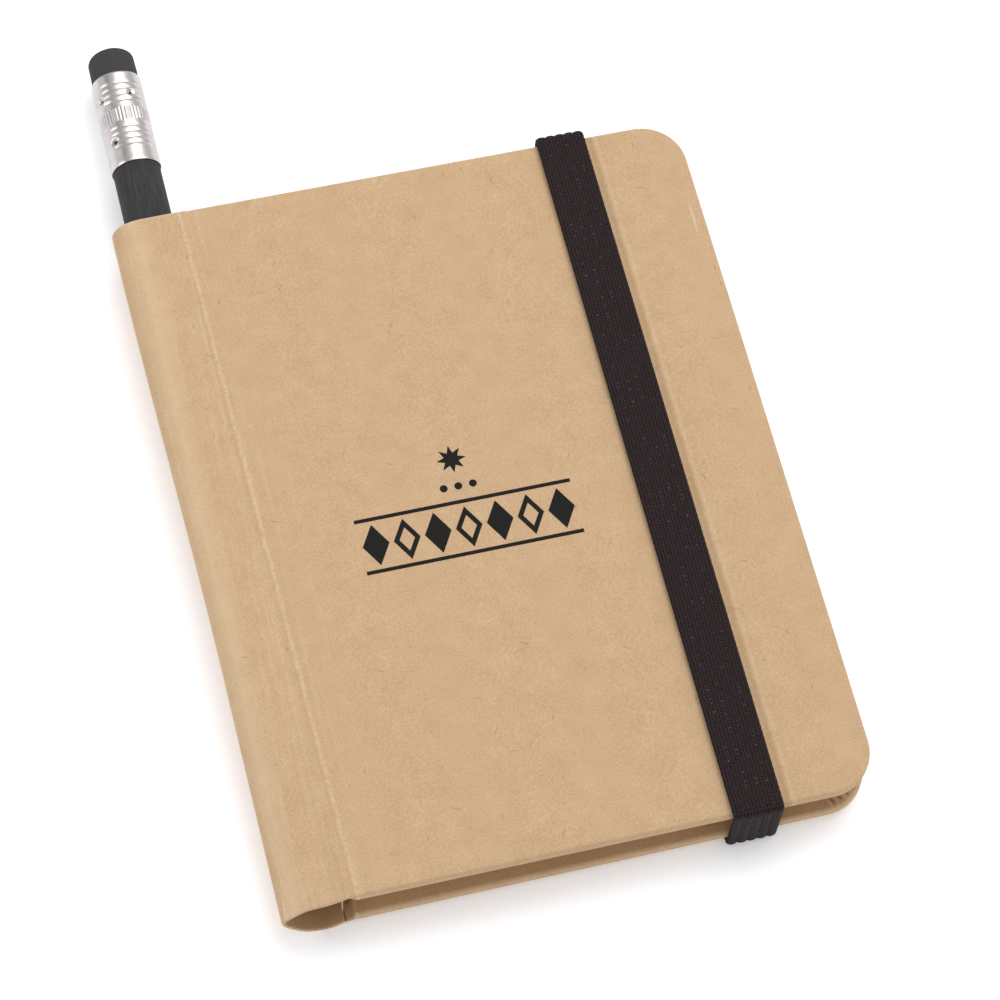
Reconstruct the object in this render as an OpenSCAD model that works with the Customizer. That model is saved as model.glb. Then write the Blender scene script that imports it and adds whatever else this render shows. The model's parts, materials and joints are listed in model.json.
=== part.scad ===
// Pocket notebook with a kraft paper cover, a pencil in a tube at the spine and an
// elastic closure. Millimetres.
//
// The notebook lies on its back: +Z points out of the front cover, +X to the fore edge and
// +Y to the head, where the pencil's eraser stands out. The origin is the centre of the
// back cover's outer face. Modules draw from the back crease (x = 0 there) and placed()
// moves the result to the origin.

/* [Cover] */
// Height of both covers, from tail to head
cover_h = 107; // [90:0.5:140]
// Width of a cover, from its crease to the fore edge
cover_w = 74.2; // [60:0.2:100]
// Radius of the covers' fore edge corners
corner_r = 6.5; // [3:0.5:9]
// Thickness of a cover board
board_t = 1.4; // [1:0.1:2.5]
// Thickness of the kraft paper that wraps the boards and forms the pencil tube
wrap_t = 0.25; // [0.15:0.05:0.4]
// Paper hinge between a crease and the board beside it
hinge_w = 1.6; // [1:0.1:3]
// Width of the kraft paper turned in over the boards' inner faces
turn_in_w = 14; // [12:0.5:20]
// Thickness of the endpapers: the pastedowns and the flyleaves
endpaper_t = 0.13; // [0.1:0.01:0.2]
// Bare turn-in left around a pastedown
paste_margin = 3; // [2:0.5:5]

/* [Pages] */
// Thickness of one leaf
leaf_t = 0.11; // [0.07:0.01:0.14]
// Leaves in each sewn section
leaves_per_section = 6; // [4:1:8]
// How far the pages stay inside the covers' head, tail and fore edges
page_inset = 3.5; // [2:0.5:5]
// Radius of the pages' fore edge corners
page_corner_r = 5; // [2:0.5:8]
// Air between two sections at the fore edge
page_gap = 0.06; // [0.04:0.01:0.12]
// How much thicker the closed book is at the crease than at the fore edge
spine_swell = 1.0; // [0.4:0.1:2]
// Thickness of the gauze on the back of the sewn sections
gauze_t = 0.15; // [0.1:0.05:0.3]
// Thickness of the glue between the gauze and the sections
glue_t = 0.2; // [0.1:0.05:0.4]

/* [Pencil tube] */
// Thickness of the liner strip that closes the tube towards the pages
liner_t = 0.4; // [0.2:0.1:0.8]
// Room in the tube beside the pencil, on the liner's side
room_in = 0.55; // [0.3:0.05:1.5]
// Room in the tube beside the pencil, on the outer side
room_out = 0.85; // [0.5:0.05:2]
// How far the tube bulges below the back cover
tube_bulge = 0.9; // [0.9:0.1:1.5]
// Height of the rounding that joins the tube's flat front to its widest point
shoulder_r = 3.8; // [3:0.1:4.5]

/* [Pencil] */
// Diameter of the pencil's wooden casing
pencil_d = 7; // [5.5:0.1:8.5]
// Length of the pencil, from the point to the top of the eraser
pencil_l = 120; // [90:1:150]
// How far the pencil stands out of the tube at the head
pencil_out = 30.8; // [27:0.1:40]
// Diameter of the graphite lead
lead_d = 2; // [1.8:0.1:3]
// Length of the sharpened wooden cone
cone_l = 17; // [12:1:22]
// Length of the bare lead at the point
point_l = 4; // [2:0.5:6]
// Wall of the metal ferrule
ferrule_wall = 0.2; // [0.15:0.05:0.3]
// Length of the ferrule
ferrule_l = 15.3; // [12:0.1:20]
// How far the eraser stands out of the ferrule
eraser_out = 4.9; // [3:0.1:8]
// How far the eraser reaches down into the ferrule
eraser_in = 7; // [5:0.5:9]
// Radius of the eraser's top edge
eraser_edge_r = 1.3; // [0.5:0.1:2]
// Clearance of the eraser in the ferrule
eraser_fit = 0.05; // [0.02:0.01:0.1]
// Wood left round the lead where the cone ends
cone_wall = 0.25; // [0.15:0.05:0.4]
// Rolled grooves at each end of the ferrule
grooves = 4; // [2:1:5]
// Distance between two of those grooves
groove_pitch = 1; // [0.7:0.05:1.1]
// Distance of the uppermost groove from the ferrule's top
groove_top = 1.9; // [1:0.1:3]
// Distance of the lowest groove from the ferrule's foot
groove_foot = 2.9; // [1:0.1:4]

/* [Elastic] */
// Width of the elastic
elastic_w = 7.1; // [5:0.1:12]
// Thickness of the elastic
elastic_t = 0.9; // [0.6:0.05:1.2]
// Distance of the elastic's centre line from the fore edge
elastic_inset = 17.6; // [14:0.1:30]
// Distance of the slots in the back board from the head and tail edges
slot_inset = 10; // [7:0.5:14]
// Length of the elastic's end that is glued inside the back board
tab_l = 12; // [8:1:20]
// Thickness of that end, pressed flat in the board
tab_t = 0.5; // [0.3:0.1:0.8]
// Clearance of the elastic around the covers and in its slots
elastic_gap = 0.1; // [0.05:0.05:0.3]

/* [Cover print] */
// Width of the printed ornament
print_w = 31; // [20:1:40]
// Height of the printed ornament
print_h = 17; // [12:1:24]
// Distance of the ornament's centre from the crease
print_from_crease = 28.7; // [24:0.1:40]
// Thickness of the ink film
ink_t = 0.03; // [0.02:0.01:0.06]
// Width of the ornament's lines
line_w = 0.55; // [0.3:0.05:1]
// Lozenges in the ornament's row
lozenges = 7; // [5:2:11]
// Radius of the star above the row
star_r = 2.1; // [1.5:0.1:2.5]

/* [Hidden] */
$fn = 96;
SECTIONS = 6;
eps = 0.01;
over = 1;            // how far a cutting tool reaches past what it cuts
crease_gap = 0.1;    // slit between a cover's wrap and the tube's wrap, on the crease
fold_air = 0.15;     // air between the glue and the leaves' folded edges
groove_share = 0.6;  // depth of a groove, of the ferrule's wall

// the layers between the two boards, from the back pastedown to the front one
cover_t = board_t + 2 * wrap_t;
section_t = leaf_t * leaves_per_section;
layers = concat([endpaper_t], [for (i = [1:SECTIONS]) section_t], [endpaper_t]);
gaps = len(layers) + 1;
function sum_below(j) = j <= 0 ? 0 : layers[j - 1] + sum_below(j - 1);
stack_z = cover_t + endpaper_t;
fore_t = 2 * stack_z + sum_below(len(layers)) + gaps * page_gap;
crease_t = fore_t + spine_swell;
crease_layer_gap = page_gap + spine_swell / gaps;
front_tilt = asin(spine_swell / cover_w);

// pages
page_x = gauze_t + glue_t + fold_air;
page_w = cover_w - page_inset - page_x;
page_h = cover_h - 2 * page_inset;

// pencil tube: two arcs that meet at the tube's widest point
pencil_r = pencil_d / 2;
tube_w = liner_t + room_in + pencil_d + room_out + wrap_t;
wide_z = crease_t - shoulder_r;
belly_r = wide_z + tube_bulge;
belly_x = belly_r - tube_w;
shoulder_x = shoulder_r - tube_w;
pencil_x = -liner_t - room_in - pencil_r;
pencil_z = crease_t / 2;

// pencil, from its top down along Y
pencil_top = cover_h / 2 + pencil_out;
ferrule_top = pencil_top - eraser_out;
ferrule_low = ferrule_top - ferrule_l;
wood_top = ferrule_top - eraser_in;
point_y = pencil_top - pencil_l;
ferrule_r = pencil_r + ferrule_wall;
lead_r = lead_d / 2;

// elastic
elastic_x = cover_w - elastic_inset;
elastic_top = crease_t - (elastic_x - elastic_w / 2) * tan(front_tilt);
slot_y = cover_h / 2 - slot_inset;
slot_l = elastic_t + 2 * elastic_gap;
loop_split_z = cover_t / 2;
turn_r = elastic_gap; // inner radius of the elastic where it turns round a cover's edge

KRAFT = [0.80, 0.66, 0.49];
BOARD = [0.60, 0.53, 0.44];
PAPER = [0.93, 0.90, 0.83];
BLACK = [0.15, 0.13, 0.14];

// ---- shared shapes ----

module placed() translate([-cover_w / 2, 0, 0]) children();

// turns its children down about the front crease, onto the sloping front cover
module on_front() translate([0, 0, crease_t]) rotate([0, front_tilt, 0]) children();

// a flat sheet from x0 to x1, as high as h, with round corners of radius r at x1
module sheet_2d(x0, x1, h, r) {
    translate([x0, -h / 2]) square([x1 - x0 - r, h]);
    translate([x1 - r - eps, -h / 2 + r]) square([r + eps, h - 2 * r]);
    for (s = [-1, 1]) translate([x1 - r, s * (h / 2 - r)]) circle(r);
}

module sheet(x0, x1, h, r, z, t) translate([0, 0, z]) linear_extrude(t) sheet_2d(x0, x1, h, r);

// ---- covers, drawn as the back one: outer face at z = 0 ----

module board() sheet(hinge_w, cover_w - wrap_t, cover_h - 2 * wrap_t, corner_r - wrap_t, wrap_t, board_t);

module wrap() {
    window_h = cover_h - 2 * turn_in_w;
    difference() {
        sheet(crease_gap, cover_w, cover_h, corner_r, 0, cover_t);
        board();
        // the turned-in paper leaves the middle of the board and the hinge bare
        translate([-over, -window_h / 2, wrap_t + board_t - eps])
            cube([over + cover_w - turn_in_w, window_h, wrap_t + over]);
        translate([-over, -cover_h / 2 - over, wrap_t])
            cube([over + hinge_w, cover_h + 2 * over, cover_t]);
    }
}

module pastedown() sheet(hinge_w + paste_margin / 2, cover_w - paste_margin, cover_h - 2 * paste_margin,
                         page_corner_r, cover_t, endpaper_t);

module front_place() on_front() mirror([0, 0, 1]) children();

module front_board() color(BOARD) front_place() board();
module front_wrap() color(KRAFT) front_place() wrap();
module front_pastedown() color(PAPER) front_place() pastedown();

// punched through the back cover for the elastic's two ends
module slots() {
    for (s = [-1, 1])
        translate([elastic_x - elastic_w / 2 - elastic_gap, s * slot_y - slot_l / 2, -over])
            cube([elastic_w + 2 * elastic_gap, slot_l, cover_t + 2 * over]);
}

// pressed into the back cover's inner face for the elastic's flat ends
module tab_beds() {
    for (s = [-1, 1])
        translate([elastic_x, s * (slot_y - tab_l / 2), cover_t - tab_t / 2 + over / 2])
            cube([elastic_w + 2 * elastic_gap, tab_l + 2 * elastic_gap, tab_t + over], center = true);
}

module back_board() color(BOARD) difference() { board(); slots(); tab_beds(); }
module back_wrap() color(KRAFT) difference() { wrap(); slots(); tab_beds(); }
module back_pastedown() color(PAPER) pastedown();

// ---- generic ornament in place of any lettering ----

module lozenge(w, h) polygon([[-w / 2, 0], [0, -h / 2], [w / 2, 0], [0, h / 2]]);

module star(r, points) polygon([for (i = [0:2 * points - 1])
    (i % 2 == 0 ? r : r / 2) * [cos(180 * i / points), sin(180 * i / points)]]);

// a row of lozenges between two rules, with three dots and a star above it
module ornament_2d() {
    pitch = print_w / lozenges;
    row_h = print_h / 2;
    row_y = -row_h / 2;
    wide = 0.86 * pitch;
    tall = 0.74 * row_h;
    blank = 0.58;         // size of the blank middle in every other lozenge
    star_y = print_h / 2 - star_r;
    for (s = [-1, 1]) translate([0, row_y + s * (row_h - line_w) / 2])
        square([print_w, line_w], center = true);
    for (i = [0:lozenges - 1]) translate([(i - (lozenges - 1) / 2) * pitch, row_y]) difference() {
        lozenge(wide, tall);
        if (i % 2 == 1) lozenge(blank * wide, blank * tall);
    }
    for (i = [-1:1]) translate([i * star_r, (star_y - star_r) / 2]) circle(line_w);
    translate([0, star_y]) star(star_r, 8);
}

module cover_print() color(BLACK) on_front() translate([print_from_crease, 0, 0])
    linear_extrude(ink_t) ornament_2d();

// ---- pages ----

// height of a layer's lower face at the crease, and how far it tilts with the front cover
function layer_z(j) = stack_z + sum_below(j) + (j + 1) * crease_layer_gap;
function layer_tilt(j) = asin((j + 1) * (crease_layer_gap - page_gap) / cover_w);

module layer(j) translate([0, 0, layer_z(j)]) rotate([0, layer_tilt(j), 0])
    sheet(page_x, page_x + page_w, page_h, page_corner_r, 0, layers[j]);

module section(i) color(PAPER) layer(i);
module back_flyleaf() color(PAPER) layer(0);
module front_flyleaf() color(PAPER) layer(SECTIONS + 1);

module spine_strip(x, t) {
    low = layer_z(0);
    high = layer_z(SECTIONS + 1) + endpaper_t;
    translate([x, -page_h / 2, low]) cube([t, page_h, high - low]);
}

module spine_gauze() color(PAPER * 0.95) spine_strip(0, gauze_t);
module spine_glue() color([0.85, 0.80, 0.66]) spine_strip(gauze_t, glue_t);

// ---- pencil tube ----

// the tube's section in X and Z, drawn in by wall w all round except at the crease
module tube_2d(w) {
    ramp = atan2(tube_bulge, -belly_x);
    difference() {
        union() {
            intersection() {
                translate([belly_x, wide_z]) circle(belly_r - w);
                translate([-tube_w, -tube_bulge - over])
                    square([tube_w + belly_x, wide_z + tube_bulge + over]);
            }
            intersection() {
                translate([shoulder_x, wide_z]) circle(shoulder_r - w);
                translate([-tube_w, wide_z - eps]) square([tube_w + shoulder_x, shoulder_r + over]);
            }
            translate([belly_x - eps, w - tube_bulge])
                square([eps - belly_x, wide_z + tube_bulge - w + eps]);
            translate([shoulder_x - eps, wide_z - eps])
                square([eps - shoulder_x, shoulder_r - w + eps]);
        }
        // the ramp from the bulge up to the back crease
        rotate(ramp) translate([-tube_w, w - tube_bulge * 3]) square([2 * tube_w, 3 * tube_bulge]);
    }
}

module along_y(y0, y1) translate([0, y1, 0]) rotate([90, 0, 0]) linear_extrude(y1 - y0) children();

module spine_wrap() color(KRAFT) difference() {
    along_y(-cover_h / 2, cover_h / 2) tube_2d(0);
    along_y(-cover_h / 2 - over, cover_h / 2 + over) tube_2d(wrap_t);
    // the hollow runs on to the crease, where the liner closes it
    translate([-liner_t - over, -cover_h / 2 - over, wrap_t])
        cube([liner_t + 2 * over, cover_h + 2 * over, crease_t - 2 * wrap_t]);
}

module spine_liner() color(KRAFT) translate([-liner_t, -cover_h / 2, wrap_t])
    cube([liner_t, cover_h, crease_t - 2 * wrap_t]);

// ---- pencil, standing along +Y ----

module pencil_place() translate([pencil_x, 0, pencil_z]) rotate([-90, 0, 0]) children();

module pencil_casing() color(BLACK) pencil_place() difference() {
    union() {
        translate([0, 0, point_y + point_l + cone_l - eps])
            cylinder(h = wood_top - point_y - point_l - cone_l + eps, r = pencil_r);
        translate([0, 0, point_y + point_l]) cylinder(h = cone_l, r1 = lead_r + cone_wall, r2 = pencil_r);
    }
    translate([0, 0, point_y]) cylinder(h = pencil_l, r = lead_r);
}

module pencil_lead() color([0.25, 0.25, 0.27]) pencil_place() {
    translate([0, 0, point_y]) cylinder(h = point_l, r1 = lead_r / 4, r2 = lead_r);
    translate([0, 0, point_y + point_l - eps])
        cylinder(h = wood_top - point_y - point_l + eps, r = lead_r);
}

module pencil_ferrule() color([0.82, 0.82, 0.83]) pencil_place() rotate_extrude() difference() {
    translate([pencil_r, ferrule_low]) square([ferrule_wall, ferrule_l]);
    for (i = [0:grooves - 1], y = [ferrule_low + groove_foot + i * groove_pitch,
                                   ferrule_top - groove_top - i * groove_pitch])
        translate([ferrule_r, y]) circle(groove_share * ferrule_wall);
}

module pencil_eraser() color(BLACK) pencil_place() rotate_extrude() {
    r = pencil_r - eraser_fit;
    e = eraser_edge_r;
    translate([0, wood_top]) square([r, pencil_top - wood_top - e]);
    translate([0, pencil_top - e - eps]) square([r - e, e + eps]);
    intersection() {
        translate([r - e, pencil_top - e]) circle(e);
        translate([0, pencil_top - e - eps]) square([r, e + over]);
    }
}

// ---- elastic ----

// a rectangle in Y and Z with round corners
module round_rect_2d(y, z0, z1, r) {
    translate([-y + r, z0]) square([2 * (y - r), z1 - z0]);
    translate([-y, z0 + r]) square([2 * y, z1 - z0 - 2 * r]);
    for (s = [-1, 1], z = [z0 + r, z1 - r]) translate([s * (y - r), z]) circle(r);
}

// the closed path of the elastic round both covers
module elastic_ring() {
    in_y = cover_h / 2 + elastic_gap;
    top = elastic_top + elastic_gap;
    translate([elastic_x - elastic_w / 2, 0, 0]) rotate([90, 0, 90])
        linear_extrude(elastic_w) difference() {
            round_rect_2d(in_y + elastic_t, -elastic_t, top + elastic_t, turn_r + elastic_t);
            round_rect_2d(in_y, 0, top, turn_r);
        }
}

module elastic_loop() color(BLACK) intersection() {
    elastic_ring();
    translate([0, -cover_h, loop_split_z]) cube([cover_w, 2 * cover_h, 2 * crease_t]);
}

module elastic_end() {
    riser_h = cover_t + elastic_t - elastic_gap;
    tab_z = cover_t - tab_t;
    intersection() {
        elastic_ring();
        translate([0, slot_y - elastic_t / 2, -2 * elastic_t])
            cube([cover_w, cover_h, loop_split_z - elastic_gap / 2 + 2 * elastic_t]);
    }
    translate([elastic_x - elastic_w / 2, slot_y - elastic_t / 2, -elastic_t])
        cube([elastic_w, elastic_t, riser_h + elastic_gap]);
    translate([elastic_x - elastic_w / 2, slot_y - tab_l, tab_z])
        cube([elastic_w, tab_l, tab_t]);
}

module elastic_head_end() color(BLACK) elastic_end();
module elastic_tail_end() color(BLACK) mirror([0, 1, 0]) elastic_end();

placed() {
    spine_wrap();
    spine_liner();
    spine_gauze();
    spine_glue();
    for (i = [1:SECTIONS]) section(i);
    front_flyleaf();
    back_flyleaf();
    front_board();
    front_wrap();
    front_pastedown();
    cover_print();
    back_board();
    back_wrap();
    back_pastedown();
    elastic_loop();
    elastic_head_end();
    elastic_tail_end();
    pencil_casing();
    pencil_lead();
    pencil_ferrule();
    pencil_eraser();
}
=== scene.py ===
# %% [markdown]
# # A pocket notebook with a pencil in its spine
# Two boards are wrapped in one sheet of kraft paper, which also runs round the spine as a
# tube for a pencil. An elastic strap holds the book shut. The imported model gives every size
# and place, and this file makes the surfaces that the eye sees around it.

# %% Frame and units
import json
import math

import bmesh
import bpy
import numpy as np
from mathutils import Matrix, Vector


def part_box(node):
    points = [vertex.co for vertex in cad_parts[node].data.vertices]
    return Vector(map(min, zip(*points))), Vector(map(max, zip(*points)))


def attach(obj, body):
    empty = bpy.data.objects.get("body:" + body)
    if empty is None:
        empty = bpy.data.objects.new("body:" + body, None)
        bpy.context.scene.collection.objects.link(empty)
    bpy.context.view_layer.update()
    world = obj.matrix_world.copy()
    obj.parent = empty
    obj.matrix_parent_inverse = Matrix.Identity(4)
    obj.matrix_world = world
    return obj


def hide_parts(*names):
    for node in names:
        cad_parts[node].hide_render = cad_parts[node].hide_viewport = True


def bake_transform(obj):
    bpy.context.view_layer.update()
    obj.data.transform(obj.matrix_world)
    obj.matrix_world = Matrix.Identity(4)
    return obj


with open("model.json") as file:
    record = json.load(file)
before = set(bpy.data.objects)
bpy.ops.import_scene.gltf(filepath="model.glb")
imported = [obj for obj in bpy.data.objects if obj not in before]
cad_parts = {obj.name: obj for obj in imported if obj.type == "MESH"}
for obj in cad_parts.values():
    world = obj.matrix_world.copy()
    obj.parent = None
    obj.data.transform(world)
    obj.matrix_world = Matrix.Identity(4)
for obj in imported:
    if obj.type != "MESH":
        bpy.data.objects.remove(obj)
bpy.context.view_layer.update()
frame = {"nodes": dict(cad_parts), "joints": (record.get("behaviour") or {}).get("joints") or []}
MM = 0.001

# %% [markdown]
# ## Sizes
# Every size comes from the frame, so the looks follow when the model changes. The two paper
# hinges are the joints' axes: the front crease at the top of the spine and the back crease at
# its foot. The front cover slopes a little, because the sewn spine is thicker than the pages.

# %% Sizes from the frame, in millimetres
hinge_at = {joint["name"]: joint["pos_m"] for joint in frame["joints"] if joint["type"] == "hinge"}
CREASE_X, _, FRONT_Z = (v / MM for v in hinge_at["front_cover_open"])


def box_mm(node):
    """Lowest and highest corner of a CAD node, in millimetres."""
    return [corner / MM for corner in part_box(node)]


back_low, back_high = box_mm("back_wrap")
front_low, front_high = box_mm("front_wrap")
tube_low, tube_high = box_mm("spine_wrap")
strap_low, strap_high = box_mm("elastic_loop")
STRAP_X = (strap_low.x + strap_high.x) / 2
STRAP_W = strap_high.x - strap_low.x
COVER_W = back_high.x - CREASE_X
COVER_H = back_high.y - back_low.y
COVER_T = back_high.z - back_low.z
TILT = math.asin((FRONT_Z - COVER_T - front_low.z) / COVER_W)
PAPER_T = 0.22   # kraft paper
CORNER_R = 6.5   # round corners of the covers
HINGE_W = 1.6    # the strip of bare paper that bends
TURN_IN = 14     # margin of paper glued to the boards' inner sides
print(f"covers {COVER_W:.1f} x {COVER_H:.1f} x {COVER_T:.1f} mm")
print(f"the front one slopes {math.degrees(TILT):.2f} degrees")

# %% [markdown]
# ## Camera
# A long lens from about half a metre keeps the notebook's sides nearly parallel. It looks down
# on the front cover from the tail side, turned so that the spine leans to the left.

# %% Camera
LENS = 128.9
CAMERA_AT = Vector((-76.66, -203.77, 459.95))
CAMERA_TURN = (25.411, -2.805, -14.045)

camera = bpy.data.objects.new("camera", bpy.data.cameras.new("camera"))
camera.data.lens = LENS
camera.location = CAMERA_AT * MM
camera.rotation_euler = [math.radians(a) for a in CAMERA_TURN]
bpy.context.scene.collection.objects.link(camera)
bpy.context.scene.camera = camera
print("camera to notebook:", round(CAMERA_AT.length), "mm")

# %% [markdown]
# ## Small helpers
# Most pieces here are sheets, so they are built as grids of points that follow a rule. A mesh
# is closed, merged and given sharp edges where two faces meet at a wide angle.


# %% Mesh helpers
def grid_faces(rows, columns, closed=False):
    """Quads of a grid whose points are listed row by row, joined end to start if closed."""
    across = columns if closed else columns - 1
    return [(r * columns + c, r * columns + (c + 1) % columns,
             (r + 1) * columns + (c + 1) % columns, (r + 1) * columns + c)
            for r in range(rows - 1) for c in range(across)]


SAME_POINT = 1e-7  # metres


def tidy_mesh(obj, sharp=40):
    """Merges double points, turns the faces outwards and shades smooth up to the sharp angle."""
    work = bmesh.new()
    work.from_mesh(obj.data)
    bmesh.ops.remove_doubles(work, verts=work.verts, dist=SAME_POINT)
    bmesh.ops.dissolve_degenerate(work, dist=SAME_POINT, edges=work.edges)
    bmesh.ops.recalc_face_normals(work, faces=work.faces)
    work.to_mesh(obj.data)
    work.free()
    obj.data.shade_smooth()
    obj.data.set_sharp_from_angle(angle=math.radians(sharp))
    return obj


def new_piece(name, points_mm, faces, sharp=40, marks=None, sides=None):
    """A mesh object from points in millimetres. marks names a vector that each point keeps, and
    sides gives each face the number of its finish."""
    mesh = bpy.data.meshes.new(name)
    mesh.from_pydata([tuple(np.asarray(p, float) * MM) for p in points_mm], [], faces)
    for label, values in (marks or {}).items():
        mark = mesh.attributes.new(label, "FLOAT_VECTOR", "POINT")
        mark.data.foreach_set("vector", np.ravel(values))
    if sides:
        mesh.polygons.foreach_set("material_index", sides)
    obj = bpy.data.objects.new(name, mesh)
    bpy.context.scene.collection.objects.link(obj)
    return tidy_mesh(obj, sharp)


def apply_modifiers(obj, sharp=40):
    """Turns the modifiers' result into the object's own plain mesh."""
    bpy.context.view_layer.update()
    graph = bpy.context.evaluated_depsgraph_get()
    made = bpy.data.meshes.new_from_object(obj.evaluated_get(graph), depsgraph=graph)
    obj.modifiers.clear()
    obj.data = made
    return tidy_mesh(obj, sharp)


def smooth_step(value, start, end):
    """0 before start, 1 after end and a soft S between them."""
    t = np.clip((value - start) / (end - start), 0, 1)
    return t * t * (3 - 2 * t)


# %% [markdown]
# ## Materials
# One helper adds a node with its settings, values and links. Colours are written as the hex
# values that a colour picker shows and are turned to linear light. Patterns read Object
# coordinates in millimetres, so a fibre or a thread has its real size.


# %% Material helpers
def linear(hex_colour):
    """An sRGB hex colour as the linear RGBA that shaders work in."""
    parts = [int(hex_colour[i:i + 2], 16) / 255 for i in (1, 3, 5)]
    return [*(c / 12.92 if c <= 0.04045 else ((c + 0.055) / 1.055) ** 2.4 for c in parts), 1]


def add(tree, kind, values=None, links=None, **settings):
    """Adds one node. values sets sockets, links joins other nodes' outputs to them."""
    node = tree.nodes.new(kind)
    for name, value in settings.items():
        setattr(node, name, value)
    for socket, value in (values or {}).items():
        node.inputs[socket].default_value = value
    for socket, source in (links or {}).items():
        tree.links.new(source, node.inputs[socket])
    return node


def new_finish(name, hex_colour, **values):
    """A material with one Principled shader, whose even values are set on its own sockets."""
    finish = bpy.data.materials.new(name)
    finish.use_nodes = True
    tree = finish.node_tree
    shader = tree.nodes["Principled BSDF"]
    shader.inputs["Base Color"].default_value = linear(hex_colour)
    for socket, value in values.items():
        shader.inputs[socket.replace("_", " ")].default_value = value
    return finish, tree, shader


def millimetres(tree, scale=(1, 1, 1), turn=0):
    """Object coordinates in millimetres, stretched by scale and turned about Z in degrees."""
    place = add(tree, "ShaderNodeTexCoord")
    turned = add(tree, "ShaderNodeMapping",
                 {"Rotation": (0, 0, math.radians(turn)), "Scale": (1 / MM,) * 3},
                 {"Vector": place.outputs["Object"]})
    stretched = add(tree, "ShaderNodeMapping", {"Scale": scale}, {"Vector": turned.outputs["Vector"]})
    return stretched.outputs["Vector"]


def noise(tree, vector, scale, detail=2, rough=0.5):
    """Noise between 0 and 1, with scale in patches per millimetre."""
    return add(tree, "ShaderNodeTexNoise", {"Scale": scale, "Detail": detail, "Roughness": rough},
               {"Vector": vector}).outputs["Fac"]


def ranged(tree, value, low, high, to_low=0, to_high=1):
    """Maps value from low..high to to_low..to_high, without going past either."""
    return add(tree, "ShaderNodeMapRange", {1: low, 2: high, 3: to_low, 4: to_high},
               {0: value}).outputs[0]


def maths(tree, operation, first, second):
    """One sum on two values, each a number or another node's output."""
    node = add(tree, "ShaderNodeMath", operation=operation)
    for socket, value in zip(node.inputs, (first, second)):
        if isinstance(value, (int, float)):
            socket.default_value = value
        else:
            tree.links.new(value, socket)
    return node.outputs[0]


def tint(tree, factor, below, colour):
    """Lays a hex colour over another node's colour. factor is a number or a node's output."""
    mix = add(tree, "ShaderNodeMix", {7: linear(colour)}, {6: below}, data_type="RGBA")
    if isinstance(factor, (int, float)):
        mix.inputs[0].default_value = factor
    else:
        tree.links.new(factor, mix.inputs[0])
    return mix.outputs[2]


def paint(tree, shader, colour):
    tree.links.new(colour, shader.inputs["Base Color"])


def product(tree, first, second):
    return maths(tree, "MULTIPLY", first, second)


def two_tone(tree, factor, low, high, dark, light):
    """A ramp from one hex colour at factor low to another at factor high."""
    ramp = add(tree, "ShaderNodeValToRGB", links={"Fac": ranged(tree, factor, low, high)})
    ramp.color_ramp.elements[0].color = linear(dark)
    ramp.color_ramp.elements[1].color = linear(light)
    return ramp.outputs["Color"]


def bump(tree, shader, height, distance_mm, strength=1.0):
    """Raises the surface by up to distance_mm where height is 1."""
    node = add(tree, "ShaderNodeBump", {"Strength": strength, "Distance": distance_mm * MM},
               {"Height": height})
    tree.links.new(node.outputs["Normal"], shader.inputs["Normal"])


def patterned(name, hex_colour, pattern, tones, height_mm=0.0, strength=0.4, stretch=(1, 1, 1),
              **values):
    """A finish whose one noise pattern gives both its colours and its bumps."""
    finish, tree, shader = new_finish(name, hex_colour, **values)
    shade = noise(tree, millimetres(tree, stretch), *pattern)
    paint(tree, shader, two_tone(tree, shade, *tones))
    if height_mm:
        bump(tree, shader, shade, height_mm, strength)
    return finish


# %% [markdown]
# ### Kraft paper
# Kraft is unbleached paper: matte, light brown and full of fibres. Three things make it look
# real. Broad soft clouds come from uneven pulp, a fine grain from the felt it was dried on, and
# single fibres lie across it in all directions, some darker and a few paler than the rest. Along
# the crease the top fibres are broken, which leaves pale wavy lines, and its valley is painted
# darker as shade. Beside the strap a shallow groove is painted darker as shade, with a paler
# strip past it, and pale streaks and a pale band on the tube are painted highlights.


# %% Kraft paper
CREASE_SLANT = -0.016  # the crease was folded by hand and isn't quite parallel to the spine


def fibres(tree, turn, share, length=1.3, width=0.11):
    """Straight fibres in one direction, length by width in mm: 1 on a fibre and 0 beside it."""
    vector = millimetres(tree, (0.28 / length, 0.28 / width, 1), turn)
    cells = add(tree, "ShaderNodeTexVoronoi", {"Scale": 1.0}, {"Vector": vector})
    on_fibre = ranged(tree, cells.outputs["Distance"], 0.20, 0.08)
    split = add(tree, "ShaderNodeSeparateColor", links={"Color": cells.outputs["Color"]})
    chosen = ranged(tree, split.outputs[0], 1 - share, 1 - share + 0.05)
    return maths(tree, "MULTIPLY", on_fibre, chosen)


def along_line(tree, x_mm, width, wander_mm=0.0, slant=0.0):
    """A soft line along Y at x_mm: 1 on it and 0 a width away. It may wander and slant a little."""
    place = add(tree, "ShaderNodeSeparateXYZ", links={"Vector": millimetres(tree)})
    across = maths(tree, "SUBTRACT", place.outputs["X"], product(tree, place.outputs["Y"], slant))
    if wander_mm:
        drift = noise(tree, millimetres(tree, (0, 1, 0)), 0.35, 3)
        across = maths(tree, "ADD", across, ranged(tree, drift, 0.3, 0.7, -wander_mm, wander_mm))
    off = maths(tree, "ABSOLUTE", maths(tree, "SUBTRACT", across, x_mm), 0)
    return ranged(tree, off, 0, width, 1, 0)


def crease_line(tree, x_mm, width, slant):
    """A worn line that wanders and is broken, because only the highest fibres have split."""
    broken = ranged(tree, noise(tree, millimetres(tree), 1.9, 4, 0.65), 0.38, 0.62, 0.2, 1)
    return maths(tree, "MULTIPLY", along_line(tree, x_mm, width, 0.12, slant), broken)


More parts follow.
